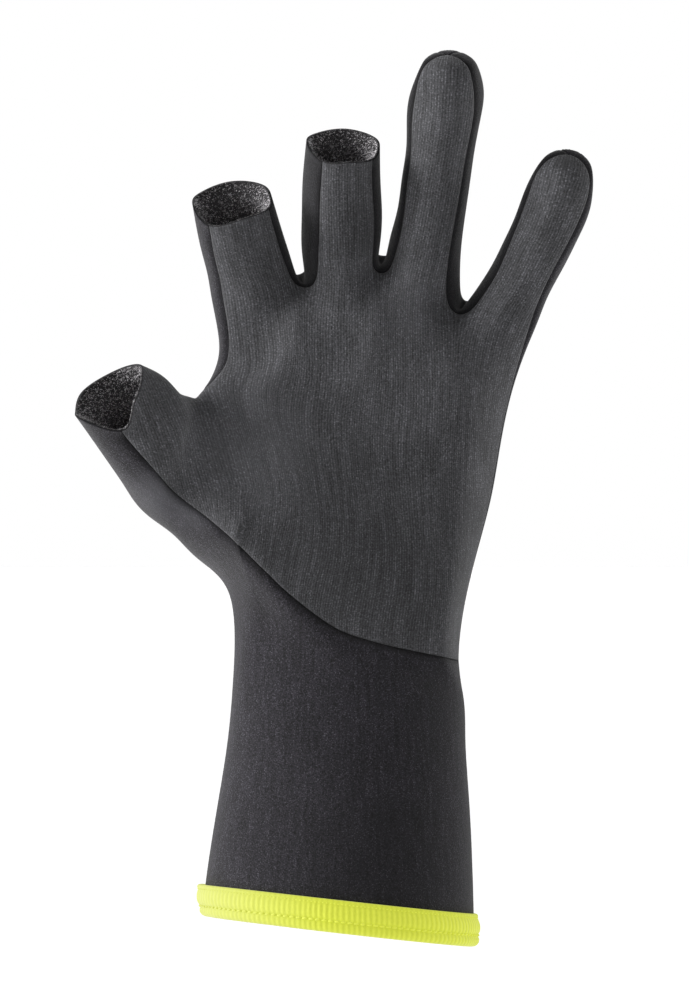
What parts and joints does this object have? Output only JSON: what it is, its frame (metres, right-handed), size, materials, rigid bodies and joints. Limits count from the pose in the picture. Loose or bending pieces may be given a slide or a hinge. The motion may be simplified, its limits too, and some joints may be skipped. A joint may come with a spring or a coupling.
{
  "type": "fishing glove",
  "caption": "Left-hand fishing glove with a long cuff, ribbed knit palm, open thumb, index and middle fingertips, closed ring and little fingers, and a bound hem.",
  "frame": {"origin": "middle of the cuff opening, on the level of the hem", "axes": "+Z from the cuff to the fingertips, -Y out of the palm, -X towards the thumb"},
  "size_m": [0.1706, 0.0804, 0.2955],
  "materials": {
    "palm_knit": "grey ribbed knit on neoprene",
    "jersey_neoprene": "dark jersey-faced neoprene",
    "side_strip": "darker jersey-faced neoprene",
    "fleece_lining": "short black fleece",
    "hem_band": "yellow-green ribbed binding"
  },
  "bodies": {
    "root": {"palm_panel": "palm_knit", "back_and_cuff": "jersey_neoprene", "fourchette_index_middle": "side_strip", "fourchette_middle_ring": "side_strip", "fourchette_ring_little": "side_strip", "thumb_lining": "fleece_lining", "index_lining": "fleece_lining", "middle_lining": "fleece_lining", "hem_binding": "hem_band"}
  },
  "joints": []
}
